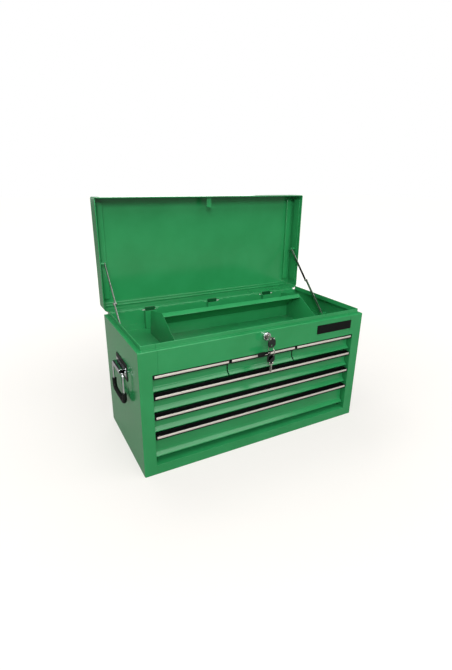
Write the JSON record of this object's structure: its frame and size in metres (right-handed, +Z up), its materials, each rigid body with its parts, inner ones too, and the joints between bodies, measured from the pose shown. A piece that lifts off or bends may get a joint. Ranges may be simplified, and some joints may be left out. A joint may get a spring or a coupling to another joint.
{
  "type": "steel tool chest with drawers and a hinged lid",
  "caption": "Sheet-steel tool chest: sliding drawers with full-width pulls below, a lidded compartment with a lift-out tray above, stays, a key lock and side bail handles.",
  "frame": {"origin": "centre of the base, on the surface that the chest stands on", "axes": "+X to the right of someone facing the drawers, +Y to the back, +Z up"},
  "size_m": [0.696, 0.3997, 0.6334],
  "materials": {
    "green_paint": "gloss green enamel on folded sheet steel",
    "black_paint": "satin black enamel",
    "black_plastic": "moulded black plastic",
    "pull_insert_finish": "satin silver strip",
    "zinc_steel": "bright zinc-plated steel",
    "chrome_plate": "polished chrome plate",
    "nickel_steel": "nickel-plated steel and die cast",
    "key_plastic": "dark grey moulded key bow",
    "badge_black": "plain black badge plate with nothing on it",
    "black_rubber": "black moulded rubber grip"
  },
  "bodies": {
    "cabinet": {"side_panels": "green_paint", "front_panel": "green_paint", "base_pan": "green_paint", "back_panel": "green_paint", "compartment_floor": "green_paint", "slide_supports": "green_paint", "slide_rails": "zinc_steel", "lock_bar_guides": "green_paint", "hinge_body_leaf": "green_paint", "hinge_pin": "zinc_steel", "lock_housing": "chrome_plate", "badge_plate": "badge_black", "stay_body_studs": "zinc_steel", "handle_backplates": "black_paint", "handle_clips": "chrome_plate"},
    "lid": {"lid_shell": "green_paint", "lid_stiffeners": "green_paint", "lid_strike": "green_paint", "hinge_lid_leaf": "green_paint", "stay_lid_studs": "zinc_steel"},
    "stay_lower": {"stay_lower_links": "zinc_steel"},
    "stay_upper": {"stay_upper_links": "zinc_steel"},
    "lock_bar_frame": {"lock_bars": "green_paint"},
    "lift_out_tray": {"tray": "green_paint"},
    "lock_key": {"lock_plug": "nickel_steel", "lock_cam": "nickel_steel", "key": "nickel_steel"},
    "folding_bow": {"key_bow": "key_plastic"},
    "hanging_ring": {"key_ring": "nickel_steel"},
    "hanging_keys": {"key_tag": "black_plastic", "spare_bow": "key_plastic"},
    "spare_key_blade": {"spare_blade": "nickel_steel"},
    "left_handle": {"handle_bail_left": "chrome_plate", "handle_grip_left": "black_rubber"},
    "right_handle": {"handle_bail_right": "chrome_plate", "handle_grip_right": "black_rubber"},
    "drawer_top_left": {"drawer_top_left": "green_paint", "pull_top_left": "black_plastic", "pull_insert_top_left": "pull_insert_finish", "slides_top_left": "zinc_steel"},
    "drawer_top_middle": {"drawer_top_middle": "green_paint", "pull_top_middle": "black_plastic", "pull_insert_top_middle": "pull_insert_finish", "slides_top_middle": "zinc_steel"},
    "drawer_top_right": {"drawer_top_right": "green_paint", "pull_top_right": "black_plastic", "pull_insert_top_right": "pull_insert_finish", "slides_top_right": "zinc_steel"},
    "drawer_second": {"drawer_second": "green_paint", "pull_second": "black_plastic", "pull_insert_second": "pull_insert_finish", "slides_second": "zinc_steel"},
    "drawer_third": {"drawer_third": "green_paint", "pull_third": "black_plastic", "pull_insert_third": "pull_insert_finish", "slides_third": "zinc_steel"},
    "drawer_bottom": {"drawer_bottom": "green_paint", "pull_bottom": "black_plastic", "pull_insert_bottom": "pull_insert_finish", "slides_bottom": "zinc_steel"}
  },
  "joints": [
    {"name": "lid_hinge", "type": "hinge", "parent": "cabinet", "child": "lid", "pos_m": [0, 0.1559, 0.3275], "axis": [-1, 0, 0], "range_deg": [-90, 0]},
    {"name": "stay_lower_pivot", "type": "hinge", "parent": "cabinet", "child": "stay_lower", "pos_m": [0, 0, 0.283], "axis": [-1, 0, 0], "range_deg": [0, 48.34]},
    {"name": "stay_upper_pivot", "type": "hinge", "parent": "lid", "child": "stay_upper", "pos_m": [0, 0.176, 0.4615], "axis": [-1, 0, 0], "range_deg": [-10.08, 0]},
    {"name": "lock_bar_slide", "type": "slide", "parent": "cabinet", "child": "lock_bar_frame", "axis": [0, 0, 1], "range_m": [-0.0058, 0]},
    {"name": "tray_lift", "type": "slide", "parent": "cabinet", "child": "lift_out_tray", "axis": [0, 0, 1], "range_m": [0, 0.15]},
    {"name": "lock_turn", "type": "hinge", "parent": "cabinet", "child": "lock_key", "pos_m": [0, -0.1525, 0.314], "axis": [0, -1, 0], "range_deg": [0, 90]},
    {"name": "key_bow_fold", "type": "hinge", "parent": "lock_key", "child": "folding_bow", "pos_m": [0, -0.1805, 0.314], "axis": [1, 0, 0], "range_deg": [-90, 0]},
    {"name": "ring_hang", "type": "hinge", "parent": "folding_bow", "child": "hanging_ring", "pos_m": [0, -0.1805, 0.297], "axis": [0, -1, 0], "range_deg": [-90, 0]},
    {"name": "keys_slide_round_ring", "type": "hinge", "parent": "hanging_ring", "child": "hanging_keys", "pos_m": [0, -0.1805, 0.28235], "axis": [1, 0, 0], "range_deg": [0, 90]},
    {"name": "spare_blade_fold", "type": "hinge", "parent": "hanging_keys", "child": "spare_key_blade", "pos_m": [0, -0.1805, 0.2507], "axis": [-1, 0, 0], "range_deg": [0, 90]},
    {"name": "left_handle_swing", "type": "hinge", "parent": "cabinet", "child": "left_handle", "pos_m": [-0.3415, -0.008, 0.236], "axis": [0, 1, 0], "range_deg": [0, 95]},
    {"name": "right_handle_swing", "type": "hinge", "parent": "cabinet", "child": "right_handle", "pos_m": [0.3415, -0.008, 0.236], "axis": [0, -1, 0], "range_deg": [0, 95]},
    {"name": "drawer_top_left_slide", "type": "slide", "parent": "cabinet", "child": "drawer_top_left", "axis": [0, -1, 0], "range_m": [0, 0.15]},
    {"name": "drawer_top_middle_slide", "type": "slide", "parent": "cabinet", "child": "drawer_top_middle", "axis": [0, -1, 0], "range_m": [0, 0.15]},
    {"name": "drawer_top_right_slide", "type": "slide", "parent": "cabinet", "child": "drawer_top_right", "axis": [0, -1, 0], "range_m": [0, 0.15]},
    {"name": "drawer_second_slide", "type": "slide", "parent": "cabinet", "child": "drawer_second", "axis": [0, -1, 0], "range_m": [0, 0.15]},
    {"name": "drawer_third_slide", "type": "slide", "parent": "cabinet", "child": "drawer_third", "axis": [0, -1, 0], "range_m": [0, 0.15]},
    {"name": "drawer_bottom_slide", "type": "slide", "parent": "cabinet", "child": "drawer_bottom", "axis": [0, -1, 0], "range_m": [0, 0.15]}
  ],
  "couplings": [
    {"joint": "stay_lower_pivot", "follows": "lid_hinge", "ratio": -0.53713},
    {"joint": "stay_upper_pivot", "follows": "lid_hinge", "ratio": 0.11199},
    {"joint": "lock_bar_slide", "follows": "lid_hinge", "m_per_rad": 0.0036924},
    {"joint": "ring_hang", "follows": "lock_turn", "ratio": -1},
    {"joint": "keys_slide_round_ring", "follows": "key_bow_fold", "ratio": -1}
  ]
}
